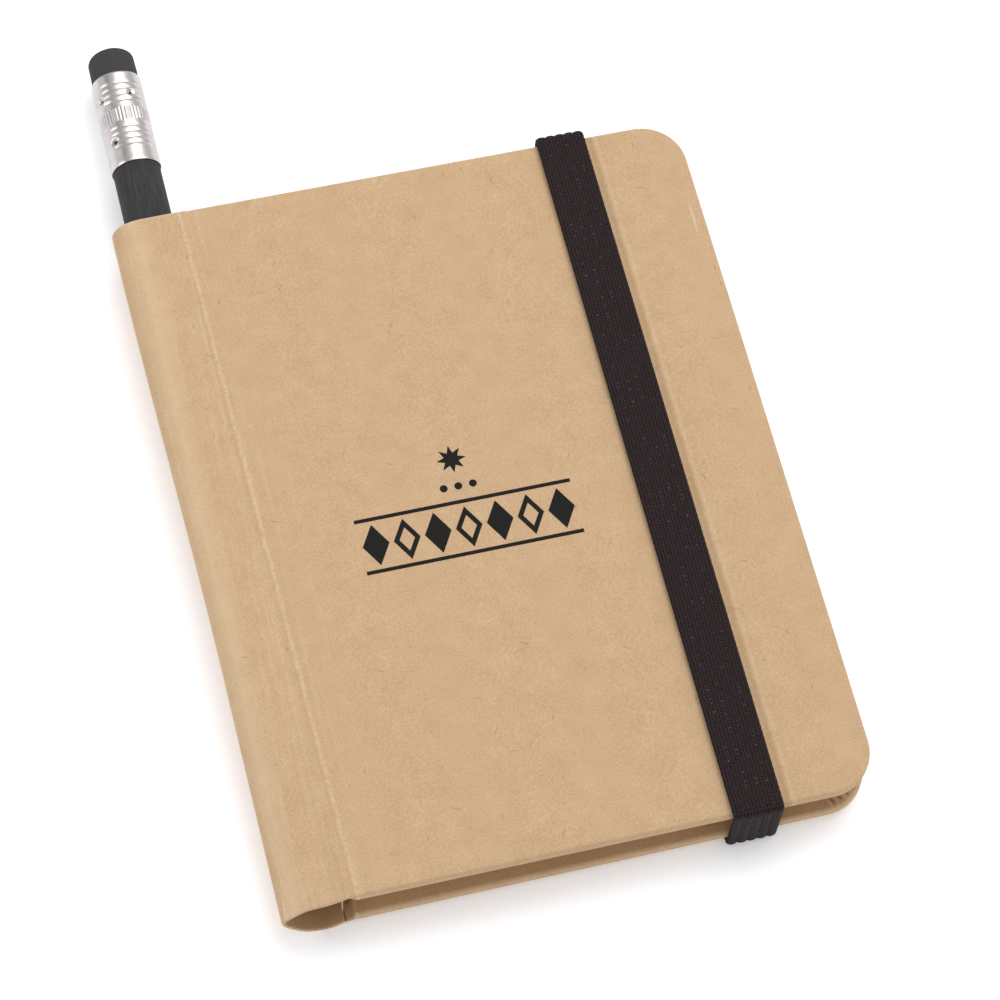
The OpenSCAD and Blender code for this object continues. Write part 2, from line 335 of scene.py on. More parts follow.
def kraft_paper(name, inner_shade=0.0):
    """The smooth side of the paper, or with some inner_shade a darker, browner copy painted as shade
    for the inner faces. The pleat attribute is 1 in the valleys between the small folds of a round
    corner, where the colour is painted dark as shade."""
    finish, tree, shader = new_finish(name, "#c8a982", Roughness=0.86, Specular_IOR_Level=0.2)
    vector = millimetres(tree)
    place = add(tree, "ShaderNodeSeparateXYZ", links={"Vector": vector})

    # clouds and grain, and pale streaks along the spine painted as highlights of the tube's curve
    clouds = noise(tree, vector, 0.3, 4, 0.6)
    grain = noise(tree, vector, 4.4, 3, 0.65)
    colour = two_tone(tree, clouds, 0.25, 0.75, "#bc9c78", "#c6a884")
    colour = tint(tree, ranged(tree, grain, 0.5, 0.75, 0, 0.5), colour, "#a87f5c")
    colour = tint(tree, ranged(tree, grain, 0.5, 0.25, 0, 0.5), colour, "#dcc1a0")
    # painted highlights: pale streaks along the tube's curve, fading out past the crease
    streak_highlights = noise(tree, millimetres(tree, (1.1, 0.035, 1)), 1.0, 3, 0.6)
    on_spine = ranged(tree, place.outputs["X"], CREASE_X + 3, CREASE_X + 9, 1, 0)
    streak_highlights = product(tree, on_spine, ranged(tree, streak_highlights, 0.5, 0.75, 0, 0.2))
    colour = tint(tree, streak_highlights, colour, "#dfc5a2")

    # single fibres
    dark = maths(tree, "MAXIMUM", fibres(tree, 24, 0.07), fibres(tree, -57, 0.06, 1.0))
    dark = maths(tree, "MAXIMUM", dark, fibres(tree, 86, 0.06, 0.8, 0.13))
    pale = maths(tree, "MAXIMUM", fibres(tree, -14, 0.16, 1.8), fibres(tree, 63, 0.14, 1.5))
    colour = tint(tree, product(tree, dark, 0.6), colour, "#83592c")
    colour = tint(tree, product(tree, pale, 0.3), colour, "#e6cfab")

    # the crease: pale worn lines, and its valley painted darker as shade
    worn = maths(tree, "MAXIMUM", crease_line(tree, CREASE_X + 0.55, 0.46, CREASE_SLANT),
                 product(tree, crease_line(tree, CREASE_X - 0.9, 0.3, 0), 0.4))
    # painted shade: the crease's valley is darkened
    valley = along_line(tree, CREASE_X + 0.1, 0.5, 0.12, CREASE_SLANT)
    colour = tint(tree, product(tree, valley, 0.18), colour, "#a07c52")
    colour = tint(tree, product(tree, worn, 0.32), colour, "#ecdabc")

    # a pale band painted on the tube's shoulder as a highlight, and the strap's groove, on the front
    # only
    strap_edge = STRAP_X + STRAP_W / 2
    on_front = ranged(tree, place.outputs["Z"], 0.6 * FRONT_Z, 0.7 * FRONT_Z, 0, 1)
    shoulder_highlight = product(tree, along_line(tree, CREASE_X - 7.2, 2.4, 0.2), on_front)
    pressed = product(tree, along_line(tree, strap_edge + 0.8, 0.6, 0.06), on_front)
    pale_strip = product(tree, along_line(tree, strap_edge + 1.7, 0.5, 0.1), on_front)
    # painted highlight: a pale band along the tube's shoulder
    colour = tint(tree, product(tree, shoulder_highlight, 0.3), colour, "#e4cba9")
    # painted shade: the shallow groove beside the strap is darkened
    colour = tint(tree, product(tree, pressed, 0.4), colour, "#a3835c")
    # a paler strip just past the groove
    colour = tint(tree, product(tree, pale_strip, 0.16), colour, "#e6cfab")

    # rubbed edges, and painted shade in the pleats' valleys and on the inner faces
    edge = add(tree, "ShaderNodeNewGeometry").outputs["Pointiness"]
    edge = product(tree, ranged(tree, edge, 0.52, 0.6), ranged(tree, grain, 0.3, 0.6, 0.4, 1))
    colour = tint(tree, product(tree, edge, 0.35), colour, "#ead6b6")
    # painted shade: the valleys between the pleats of a round corner are darkened
    pleat_shade = add(tree, "ShaderNodeAttribute", attribute_name="pleat").outputs["Fac"]
    colour = tint(tree, product(tree, pleat_shade, 0.9), colour, "#5c3d24")
    # painted shade: the copy for the inner faces, turn-ins and liner is mixed towards a darker brown
    if inner_shade:
        colour = tint(tree, inner_shade, colour, "#a8764c")
    paint(tree, shader, colour)

    raised = maths(tree, "ADD", product(tree, grain, 0.6), product(tree, pale, 0.5))
    marked = maths(tree, "SUBTRACT", product(tree, worn, 0.5), pressed)
    bump(tree, shader, maths(tree, "ADD", raised, marked), 0.05, 0.5)
    return finish


KRAFT = kraft_paper("kraft paper")
# the second finish is the kraft painted darker as shade, for the inner faces, turn-ins and liner
KRAFT_INSIDE = kraft_paper("kraft paper with painted shade", 0.35)
print("finishes:", KRAFT.name, "and", KRAFT_INSIDE.name)

# %% [markdown]
# ### Paper, board, gauze and glue
# The leaves are uncoated natural white paper. The boards are grey pressed pulp, coarser and
# duller. The gauze is an open cotton weave, drawn as two sets of threads, and the glue that
# holds the folded sections is a dull amber film.


# %% Paper, board, gauze and glue
def page_paper():
    finish, tree, shader = new_finish("natural white paper", "#efe9da", Roughness=0.9,
                                      Specular_IOR_Level=0.2)
    vector = millimetres(tree)
    colour = two_tone(tree, noise(tree, vector, 0.5, 3), 0.3, 0.7, "#ece6d6", "#f2ecdf")
    colour = tint(tree, product(tree, fibres(tree, 35, 0.15, 0.8, 0.08), 0.18), colour, "#cbbd9f")
    paint(tree, shader, colour)
    bump(tree, shader, noise(tree, vector, 4, 4, 0.65), 0.03, 0.4)
    return finish


def pressed_board():
    finish, tree, shader = new_finish("grey pressed board", "#93887a", Roughness=0.92,
                                      Specular_IOR_Level=0.2)
    specks = noise(tree, millimetres(tree, (1, 1, 4)), 1.6, 5, 0.75)
    colour = two_tone(tree, specks, 0.3, 0.7, "#7b7063", "#a89c8a")
    colour = tint(tree, product(tree, fibres(tree, 12, 0.3, 0.5), 0.5), colour, "#5a5047")
    paint(tree, shader, colour)
    bump(tree, shader, specks, 0.08, 0.5)
    return finish


def cotton_gauze():
    finish, tree, shader = new_finish("cotton gauze", "#e2dccb", Roughness=0.95,
                                      Specular_IOR_Level=0.15)
    threads = [add(tree, "ShaderNodeTexWave", {"Scale": 0.31, "Distortion": 0.6},
                   {"Vector": millimetres(tree)}, bands_direction=axis).outputs["Fac"]
               for axis in ("Y", "Z")]
    weave = maths(tree, "MAXIMUM", *threads)
    paint(tree, shader, two_tone(tree, weave, 0, 1, "#a99d86", "#ece6d6"))
    bump(tree, shader, weave, 0.1, 0.6)
    return finish


PAGE = page_paper()
BOARD = pressed_board()
GAUZE = cotton_gauze()
GLUE = patterned("binding glue", "#d3c194", (0.8, 4), (0.3, 0.7, "#c2ad7a", "#e0d2ab"), 0.1, 0.5,
                 (1, 0.4, 1), Roughness=0.45)
print("finishes:", PAGE.name, BOARD.name, GAUZE.name, GLUE.name)

# %% [markdown]
# ### Ink, elastic and the pencil's materials
# The ink is a matte black film that lets a little of the paper's tooth through. The elastic is a
# knitted tape of dyed polyester over rubber, near black with a warm cast. The pencil's wood is
# stained black all through and left unvarnished, so its grain shows as fine grey lines.


# %% Ink, elastic, wood, graphite, metal and eraser
STITCH = 0.4  # length of a stitch in mm


def knitted_elastic():
    """Reads the strap's tape attribute: x across in wales, y along in mm, z 1 less the valleys' painted
    shade.
    """
    finish, tree, shader = new_finish("knitted elastic", "#2b2325", Roughness=0.85,
                                      Specular_IOR_Level=0.1, Sheen_Weight=0.05,
                                      Sheen_Roughness=0.5)
    place = add(tree, "ShaderNodeAttribute", attribute_name="tape")
    split = add(tree, "ShaderNodeSeparateXYZ", links={"Vector": place.outputs["Vector"]})
    across = maths(tree, "PINGPONG", split.outputs["X"], 0.5)
    slanted = maths(tree, "ADD", product(tree, split.outputs["Y"], 1 / STITCH), across)
    loops = product(tree, maths(tree, "PINGPONG", slanted, 0.5), product(tree, across, 4))
    fuzz = noise(tree, millimetres(tree), 4.5, 3, 0.7)
    knit = maths(tree, "ADD", product(tree, loops, 0.6), product(tree, fuzz, 0.6))
    colour = two_tone(tree, knit, 0.2, 0.95, "#0d0708", "#463739")
    # painted shade: the valleys between the ribs are darkened, more on the sides
    valley_shade = ranged(tree, split.outputs["Z"], 0.7, 0.1, 0, 0.9)
    paint(tree, shader, tint(tree, valley_shade, colour, "#0d090a"))
    bump(tree, shader, knit, 0.12, 0.9)
    return finish


def stained_wood():
    finish, tree, shader = new_finish("black stained wood", "#333335", Roughness=0.75,
                                      Specular_IOR_Level=0.2)
    grain = noise(tree, millimetres(tree, (3.0, 0.16, 3.0)), 1.3, 5, 0.7)
    pores = noise(tree, millimetres(tree, (9, 0.7, 9)), 1.0, 3, 0.6)
    colour = two_tone(tree, grain, 0.32, 0.68, "#2a2a2b", "#414142")
    paint(tree, shader, tint(tree, ranged(tree, pores, 0.6, 0.75, 0, 0.4), colour, "#1b1b1c"))
    bump(tree, shader, maths(tree, "SUBTRACT", grain, pores), 0.05, 0.5)
    return finish


def rolled_aluminium():
    finish, tree, shader = new_finish("rolled aluminium", "#c4bebc", Roughness=0.25, Metallic=1.0)
    scratches = noise(tree, millimetres(tree, (0.6, 9, 0.6)), 1.0, 3, 0.6)
    smudge = noise(tree, millimetres(tree), 0.5, 3)
    tree.links.new(ranged(tree, scratches, 0.3, 0.7, 0.27, 0.36), shader.inputs["Roughness"])
    paint(tree, shader, two_tone(tree, smudge, 0.3, 0.7, "#bdb6b4", "#cbc6c4"))
    bump(tree, shader, scratches, 0.001, 0.3)
    return finish


INK = patterned("black printing ink", "#151516", (3.5, 4, 0.7),
                (0.35, 0.75, "#111112", "#201d1a"), 0.02, Roughness=0.7, Specular_IOR_Level=0.15)
ELASTIC = knitted_elastic()
YARN = patterned("loose polyester yarn", "#5c5052", (1.5, 2), (0.35, 0.65, "#30282a", "#6c6062"),
                 Roughness=0.7, Specular_IOR_Level=0.2)
WOOD = stained_wood()
GRAPHITE = patterned("graphite", "#3d3e42", (5, 3), (0, 1, "#303135", "#4c4d52"), 0.02,
                     Roughness=0.38, Metallic=0.35)
FERRULE = rolled_aluminium()
ERASER = patterned("eraser rubber", "#404040", (2.5, 5, 0.7), (0.3, 0.7, "#3b3b3b", "#454545"),
                   0.03, 0.5, Roughness=0.85, Specular_IOR_Level=0.15)
print("finishes:", INK.name, ELASTIC.name, WOOD.name, GRAPHITE.name, FERRULE.name, ERASER.name)

# %% [markdown]
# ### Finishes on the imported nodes
# Boards, gauze, glue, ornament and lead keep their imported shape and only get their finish. Each
# is set on the object's own material slots.


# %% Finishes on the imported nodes
def coat(node, finish):
    """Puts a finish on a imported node."""
    for place in frame["nodes"][node].material_slots:
        place.material = finish


kept_nodes = {"spine_gauze": GAUZE, "spine_glue": GLUE, "front_board": BOARD,
              "back_board": BOARD, "cover_print": INK, "pencil_lead": GRAPHITE}
for node, finish in kept_nodes.items():
    coat(node, finish)
print("kept nodes:", ", ".join(kept_nodes))

# %% [markdown]
# ## The tube at the spine
# Seen from the tail the tube is a loop that starts at the back crease, bulges below the back
# cover and comes up and over to the front crease. Round the pencil it is full. Past the
# pencil's point nothing holds it up, so its free end sinks into a flatter, pointed loop. Both
# loops are drawn with the same number of points, and each row across the tube lies between them.


# %% Loops of the tube
TUBE_COLUMNS = 64
SHOULDER_R = 3.8


def arc(centre_x, centre_z, radius, start, end, steps=24):
    """Points on an arc, with angles in degrees."""
    angles = np.radians(np.linspace(start, end, steps))
    return np.c_[centre_x + radius * np.cos(angles), centre_z + radius * np.sin(angles)]


def even_points(path, count):
    """The same path with its points spread evenly."""
    path = np.asarray(path, float)
    along = np.r_[0, np.cumsum(np.linalg.norm(np.diff(path, axis=0), axis=1))]
    at = np.linspace(0, along[-1], count)
    return np.c_[np.interp(at, along, path[:, 0]), np.interp(at, along, path[:, 1])]


def curve_through(points, steps=12):
    """A smooth curve through a few points (Catmull-Rom)."""
    p = np.asarray(points, float)
    p = np.vstack([2 * p[0] - p[1], p, 2 * p[-1] - p[-2]])
    t = np.linspace(0, 1, steps, endpoint=False)[:, None]
    parts = []
    for a, b, c, d in zip(p, p[1:], p[2:], p[3:]):
        squared, cubed = 2 * a - 5 * b + 4 * c - d, 3 * b - a - 3 * c + d
        parts.append(0.5 * (2 * b + (c - a) * t + squared * t ** 2 + cubed * t ** 3))
    return np.vstack([*parts, p[-2:-1]])


tube_w = CREASE_X - tube_low.x
bulge = -tube_low.z
wide_z = FRONT_Z - SHOULDER_R
belly_r = wide_z + bulge
full_loop = even_points(np.vstack([
    [[0, 0]],
    arc(belly_r - tube_w, wide_z, belly_r, 270, 180),
    arc(SHOULDER_R - tube_w, wide_z, SHOULDER_R, 180, 90),
    [[0, FRONT_Z]]]), TUBE_COLUMNS)
slack_loop = even_points(curve_through([
    (0, 0), (-2.4, -1.15), (-5.3, -0.5), (-7.6, 1.9), (-8.9, 4.7), (-7.7, 6.8), (-5.6, 8.35), (-3, 8.7),
    (-1.2, 9.2), (0, FRONT_Z)]), TUBE_COLUMNS)
TAIL_Y = -COVER_H / 2
SLACK_FROM = -12   # the pencil's cone starts here
FLARE_FROM = -20   # the tube widens from here to its open head
HEAD_FLARE = 1.2   # how much wider it is there
print(f"tube {tube_w:.1f} mm wide, {bulge:.1f} mm below the back cover")

# %% [markdown]
# ## Wrapping paper
# A bookbinder glues the paper to the boards and turns its margins in over their edges. So one
# function lays out the outer face as a grid, then walks round its border and adds the way of the
# paper over the edge: a quarter turn, the board's thickness, a second quarter turn and the
# margin on the inner face. Beside the boards, in the hinge and the tube, the paper is folded
# back on itself. At a round corner the margin has too much paper and lies in small pleats.


# %% Wrapping paper
FOLD_STEPS = 5
FOLD_R = 0.25        # where the paper is folded back on itself
BOARD_EDGE_R = 0.5   # where it goes over a board's pressed edge
TURN_STEPS = (0.04, 0.1, 0.2, 0.4, 0.7, 1.0)  # shares of the turned-in margin
PLEATS = 8           # at each round corner
PLEAT_H = 0.5
PLEAT_END = 0.22     # share of the margin that the pleats run across


def board_share(u):
    """0 in the tube and the hinge, 1 where a board lies under the paper."""
    return smooth_step(u, HINGE_W - 1.3, HINGE_W - 0.05)


def edge_radius(u):
    return FOLD_R + (BOARD_EDGE_R - FOLD_R) * board_share(u)


def edge_depth(u):
    return 2 * FOLD_R + (COVER_T - 2 * FOLD_R) * board_share(u)


def crease_groove(u):
    """Depth of the valley between the two scored lines of a paper hinge."""
    valley = 0.10 * np.exp(-((u - 0.95) / 0.5) ** 2)
    ridges = 0.035 * (np.exp(-(u / 0.22) ** 2) + np.exp(-((u - 1.95) / 0.22) ** 2))
    return valley - ridges


def fold_profile(radius, depth):
    """(outward, inward) steps of the paper over an edge, from the outer face to the inner one."""
    turn = np.radians(np.linspace(0, 90, FOLD_STEPS + 1))
    low_r = min(radius, depth / 2)
    outer = np.c_[radius * np.sin(turn), radius * (1 - np.cos(turn))][1:]
    inner = np.c_[radius - low_r * (1 - np.cos(turn)), depth - low_r * (1 - np.sin(turn))]
    return np.vstack([outer, inner])


def cover_columns():
    """Distances from the crease: close together in the hinge and round the corners."""
    hinge = np.linspace(0, 2.4, 13)
    flat = np.linspace(2.4, COVER_W - CORNER_R, 26)[1:]
    corner_r = CORNER_R - edge_radius(COVER_W)
    corner = COVER_W - CORNER_R + corner_r * np.sin(np.radians(np.linspace(0, 90, 6 * PLEATS + 1)[1:]))
    return np.r_[hinge, flat, corner]


def half_height(u):
    """Half the height of the outer face at distance u, short of its rounded edge."""
    radius = edge_radius(u)
    into = np.clip(u - (COVER_W - CORNER_R), 0, CORNER_R - radius)
    return COVER_H / 2 - CORNER_R + math.sqrt(max((CORNER_R - radius) ** 2 - into ** 2, 0))


def wrapping_paper(locate, distances, rows=53):
    """One sheet. locate(column, u, y, depth) gives a point below the outer face."""
    steps = np.linspace(-1, 1, rows)
    last = len(distances) - 1
    points = [locate(i, u, s * half_height(u), 0) for s in steps for i, u in enumerate(distances)]
    shades = [0.0] * len(points)
    faces = grid_faces(rows, last + 1)
    sides = [0] * len(faces)
    tail = [(0, i) for i in range(last + 1)]
    fore = [(r, last) for r in range(1, rows - 1)]
    border = tail + fore + [(rows - 1, i) for i in range(last, -1, -1)]
    inner_u, inner_y = COVER_W - TURN_IN, COVER_H / 2 - TURN_IN
    rings = []
    for row, i in border:
        u, y = distances[i], steps[row] * half_height(distances[i])
        if 0 < row < rows - 1:
            out_u, out_y = 1.0, 0.0
        else:
            reach = (CORNER_R - edge_radius(u)) if u > COVER_W - CORNER_R else 1.0
            out_u = max(u - (COVER_W - CORNER_R), 0) / reach
            out_y = math.copysign(math.sqrt(max(1 - out_u ** 2, 0)), steps[row])
        radius, depth = edge_radius(u), edge_depth(u)
        way = [(u + out_u * e, y + out_y * e, d) for e, d in fold_profile(radius, depth)]
        goal_u, goal_y = min(u, inner_u), float(np.clip(y, -inner_y, inner_y))
        corner_turn = math.degrees(math.asin(min(out_u, 1)))
        in_corner = 0 < corner_turn < 90
        pleat = abs(math.sin(math.radians(2 * PLEATS * corner_turn))) if in_corner else 0
        shades += [0.0] * len(way)
        for t in TURN_STEPS:
            fading = max(1 - t / PLEAT_END, 0)
            way.append((u + (goal_u - u) * t, y + (goal_y - y) * t, depth + PLEAT_H * pleat * fading))
            # the pleat value is painted shade: 1 in a pleat's valley, fading across the margin
            shades.append((1 - pleat) * fading if in_corner else 0.0)
        rings.append([locate(i, *step) for step in way])
    first, across = len(points), len(rings[0])
    points += [p for ring in rings for p in ring]
    for k in range(len(border) - 1):
        near, far = (border[n][0] * (last + 1) + border[n][1] for n in (k, k + 1))
        for step in range(across):
            a, b = (first + n * across + step for n in (k, k + 1))
            faces.append((near, far, b, a))
            sides.append(0 if step < across - len(TURN_STEPS) else 1)
            near, far = a, b
    return points, faces, sides, shades


def thicken(name, points, faces, sides, shades, outward_z):
    """Gives the sheet its thickness, and its inner faces a darker finish that is painted shade."""
    # the pleat attribute carries the painted shade of the pleats' valleys
    marks = {"pleat": [(shade, shade, shade) for shade in shades]}
    sheet = new_piece(name, points, faces, 75, marks, sides)
    # the outer face gets the kraft; the turned-in margins and the inner faces get the copy painted
    # darker as shade
    for finish in (KRAFT, KRAFT_INSIDE, KRAFT_INSIDE):
        sheet.data.materials.append(finish)
    middle = min(sheet.data.polygons, key=lambda f: (f.center - Vector((0, 0, outward_z)) * 0.1).length)
    if middle.normal.z * outward_z < 0:
        sheet.data.flip_normals()
    wall = sheet.modifiers.new("paper thickness", "SOLIDIFY")
    wall.thickness = PAPER_T * MM
    wall.offset = -1
    wall.use_even_offset = False
    wall.material_offset = 1
    return apply_modifiers(sheet, sharp=75)


def front_sheet_point(column, u, y, depth):
    """A point of the sheet that makes the tube and the front cover."""
    if column >= TUBE_COLUMNS:
        low = -depth - crease_groove(u)
        return (CREASE_X + u * math.cos(TILT) + low * math.sin(TILT), y,
                FRONT_Z - u * math.sin(TILT) + low * math.cos(TILT))
    slack = smooth_step(-y, -SLACK_FROM, -TAIL_Y)
    ends = np.array([full_loop[j] + (slack_loop[j] - full_loop[j]) * slack
                     for j in (max(column - 1, 0), column, min(column + 1, TUBE_COLUMNS - 1))])
    ends[:, 0] *= 1 + HEAD_FLARE / tube_w * smooth_step(y, FLARE_FROM, -TAIL_Y)
    along = (ends[2] - ends[0]) / np.linalg.norm(ends[2] - ends[0])
    x, z = ends[1] + depth * np.array([along[1], -along[0]])
    return (CREASE_X + x, y, z)


tube_distances = -np.linspace(TUBE_COLUMNS, 0, TUBE_COLUMNS, endpoint=False) * 0.4
front_distances = np.r_[tube_distances, cover_columns()[1:]]
front_paper = thicken("front_cover_and_tube_paper",
                      *wrapping_paper(front_sheet_point, front_distances), 1)
print("front paper:", len(front_paper.data.polygons), "faces")

# %% [markdown]
# The back cover's paper is the same sheet on the real notebook. Here it starts at the back
# crease. Two slots let the elastic through.


# %% Back cover's paper
def back_sheet_point(column, u, y, depth):
    return (CREASE_X + u, y, depth + crease_groove(u))


end_low, end_high = box_mm("elastic_head_end")
STRAP_T = -end_low.z
SLOT_Y = COVER_H / 2 - 10  # the slots lie 1 cm from the edges
SLOT_ROOM = 0.3            # play round the elastic

back_paper = thicken("back_cover_paper", *wrapping_paper(back_sheet_point, cover_columns()), -1)


def cut_slot(sheet, side):
    """Punches one slot through the paper with a boolean."""
    bpy.ops.mesh.primitive_cube_add(size=1, location=(STRAP_X * MM, side * SLOT_Y * MM, 0))
    punch = bpy.context.object
    punch.scale = ((STRAP_W + SLOT_ROOM) * MM, (STRAP_T + SLOT_ROOM) * MM, 2 * COVER_T * MM)
    cut = sheet.modifiers.new("slot", "BOOLEAN")
    cut.object = punch
    cut.operation = "DIFFERENCE"
    apply_modifiers(sheet, sharp=75)
    bpy.data.objects.remove(punch)


for side in (-1, 1):
    cut_slot(back_paper, side)
print("back paper:", len(back_paper.data.polygons), "faces")

# %% [markdown]
# On the real notebook the paper bends across the hinge. Here each sheet only has its transform
# baked into its mesh.


# %% Paper's transforms baked in
def hinge_blend(obj):
    """Bakes obj's transform into its mesh."""
    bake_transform(obj)


def dress(obj, finish, slot_name, *nodes):
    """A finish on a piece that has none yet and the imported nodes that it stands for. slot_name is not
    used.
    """
    if not obj.data.materials:
        obj.data.materials.append(finish)
    if nodes:
        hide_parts(*nodes)
    return obj


dress(front_paper, KRAFT, "kraft", "spine_wrap", "front_wrap")
hinge_blend(front_paper)
dress(back_paper, KRAFT, "kraft", "back_wrap")
hinge_blend(back_paper)

# %% [markdown]
# A strip of the same paper closes the tube towards the pages. It is glued to both creases and
# ends a little inside the tube, and between them it bows slightly towards the pencil.


# %% Liner of the tube
LINER_T = 0.2
LINER_SHORT = 1.5   # how far it ends inside the tube
LINER_BOW = 0.12
LINER_ROWS, LINER_COLUMNS = 41, 9
liner_low, liner_high = box_mm("spine_liner")
liner_h = liner_high.z - liner_low.z
liner_sheet = []
for y in np.linspace(liner_low.y + LINER_SHORT, liner_high.y - LINER_SHORT, LINER_ROWS):
    for z in np.linspace(liner_low.z, liner_high.z, LINER_COLUMNS):
        bow = LINER_BOW * math.sin(math.pi * (z - liner_low.z) / liner_h)
        liner_sheet.append((liner_high.x - LINER_T - bow, y, z))
liner = new_piece("tube_liner", liner_sheet, grid_faces(LINER_ROWS, LINER_COLUMNS), sharp=75)
wall = liner.modifiers.new("paper thickness", "SOLIDIFY")
wall.thickness, wall.offset = LINER_T * MM, 0
apply_modifiers(liner, sharp=75)
# the liner gets the kraft copy painted darker as shade
dress(liner, KRAFT_INSIDE, "kraft", "spine_liner")
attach(liner, "spine")
print("liner:", round(liner_h, 1), "mm wide")

# %% [markdown]
# ## Sheets of paper
# Pastedowns, flyleaves and leaves are all thin sheets with two round corners. One function makes
# a sheet as a closed slab, with columns of points close together where it bends at the spine. A
# pastedown dips a little where the turned-in paper under it ends.


# %% Sheet of paper
PAGE_CORNER = 5
BENDS_TO = 10    # columns lie close together up to this distance from the crease
PASTE_DIP = 0.14


def paper_sheet(name, low_x, high_x, height, thickness, height_at, rows):
    """A closed thin slab. height_at(x, y) is its lower face; x is from the crease."""
    corner_x = high_x - PAGE_CORNER
    near = np.linspace(low_x, BENDS_TO, 14)
    flat = np.linspace(BENDS_TO, corner_x, 9)[1:]
    turn = corner_x + PAGE_CORNER * np.sin(np.radians(np.linspace(0, 90, 9)[1:]))
    across = np.r_[near, flat, turn]
    halves = [height / 2 - PAGE_CORNER
              + math.sqrt(max(PAGE_CORNER ** 2 - max(x - corner_x, 0) ** 2, 0)) for x in across]
    points = []
    for level in (0, thickness):
        for s in np.linspace(-1, 1, rows):
            points += [(x, s * h, height_at(x, s * h) + level) for x, h in zip(across, halves)]
    columns, layer = len(across), len(across) * rows
    faces = grid_faces(rows, columns)
    faces = [f[::-1] for f in faces] + [tuple(n + layer for n in f) for f in faces]
    tail = list(range(columns))
    fore = [r * columns + columns - 1 for r in range(1, rows)]
    head = [(rows - 1) * columns + c for c in range(columns - 2, -1, -1)]
    spine = [r * columns for r in range(rows - 2, 0, -1)]
    ring = tail + fore + head + spine
    faces += [(a, b, b + layer, a + layer) for a, b in zip(ring, ring[1:] + ring[:1])]
    return new_piece(name, points, faces, sharp=50)


def on_front(obj):
    """Turns a sheet that was drawn on the back cover over onto the front cover."""
    flip = Matrix.Translation((CREASE_X * MM, 0, FRONT_Z * MM)) @ Matrix.Rotation(TILT, 4, "Y")
    obj.data.transform(flip @ Matrix.Diagonal((1, 1, -1, 1)))
    obj.data.flip_normals()
    return obj


def on_back(obj):
    obj.data.transform(Matrix.Translation((CREASE_X * MM, 0, 0)))
    return obj


def pasted_height(x, y):
    """The pastedown lies on the turned-in margins and sinks to the board between them."""
    inside = min(COVER_W - TURN_IN - x, COVER_H / 2 - TURN_IN - abs(y))
    return COVER_T - PASTE_DIP * float(smooth_step(inside, -0.5, 1.5))


paste_low, paste_high = box_mm("back_pastedown")
PASTE_T = paste_high.z - paste_low.z
for side, settle in (("front", on_front), ("back", on_back)):
    pastedown = paper_sheet(side + "_endpaper", paste_low.x - CREASE_X, paste_high.x - CREASE_X,
                            paste_high.y - paste_low.y, PASTE_T, pasted_height, rows=41)
    settle(pastedown)
    dress(pastedown, PAGE, "page", side + "_pastedown")
    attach(pastedown, side + "_cover")
print("pastedowns are", round(PASTE_T, 2), "mm thick")

# %% [markdown]
# ## Leaves
# A section is a few sheets folded together, so its leaves lie in a stack with a round back at
# the spine. Stacks are what Geometry Nodes do well: the tree below lays a line of points, moves
# each by a small random amount and puts a leaf on each. The middle leaves of a fold reach a
# little less far back, which the tree works out from each leaf's place in the stack.


# %% Stack of leaves
def new_tree(name, inputs):
    """An empty Geometry Nodes tree with named inputs and one geometry output."""
    tree = bpy.data.node_groups.new(name, "GeometryNodeTree")
    for label, kind in inputs:
        tree.interface.new_socket(label, in_out="INPUT", socket_type="NodeSocket" + kind)
    tree.interface.new_socket("Geometry", in_out="OUTPUT", socket_type="NodeSocketGeometry")
    return tree, add(tree, "NodeGroupInput").outputs


def close_tree(tree, geometry, material):
    """Realizes the instances, sets their material and gives the result out."""
    real = add(tree, "GeometryNodeRealizeInstances", links={"Geometry": geometry})
    coated = add(tree, "GeometryNodeSetMaterial",
                 links={"Geometry": real.outputs[0], "Material": material})
    add(tree, "NodeGroupOutput", links={0: coated.outputs[0]})


def leaf_stack_tree():
    tree, given = new_tree("leaf stack", [
        ("Leaf", "Geometry"), ("Leaves", "Int"), ("Pitch", "Float"), ("Fold depth", "Float"),
        ("Unevenness", "Float"), ("Seed", "Int"), ("Paper", "Material")])
    step = add(tree, "ShaderNodeCombineXYZ", links={"Z": given["Pitch"]})
    line = add(tree, "GeometryNodeMeshLine",
               links={"Count": given["Leaves"], "Offset": step.outputs[0]})
    index = add(tree, "GeometryNodeInputIndex").outputs[0]
    middle = product(tree, maths(tree, "SUBTRACT", given["Leaves"], 1), 0.5)
    off_middle = maths(tree, "DIVIDE", maths(tree, "SUBTRACT", index, middle),
                       maths(tree, "ADD", middle, 0.5))
    hollow = maths(tree, "POWER", maths(tree, "ABSOLUTE", off_middle, 0), 2)
    fold = add(tree, "ShaderNodeCombineXYZ", links={"X": product(tree, given["Fold depth"], hollow)})
    spread = add(tree, "ShaderNodeCombineXYZ",
                 links={"X": given["Unevenness"], "Y": given["Unevenness"]})
    back = add(tree, "ShaderNodeVectorMath", {1: (-1, -1, -1)}, {0: spread.outputs[0]},
               operation="MULTIPLY")
    chance = add(tree, "FunctionNodeRandomValue", data_type="FLOAT_VECTOR",
                 links={0: back.outputs[0], 1: spread.outputs[0], "Seed": given["Seed"]})
    shift = add(tree, "ShaderNodeVectorMath", operation="ADD",
                links={0: fold.outputs[0], 1: chance.outputs[0]})
    moved = add(tree, "GeometryNodeSetPosition",
                links={"Geometry": line.outputs[0], "Offset": shift.outputs[0]})
    leaves = add(tree, "GeometryNodeInstanceOnPoints",
                 links={"Points": moved.outputs[0], "Instance": given["Leaf"]})
    close_tree(tree, leaves.outputs[0], given["Paper"])
    return tree


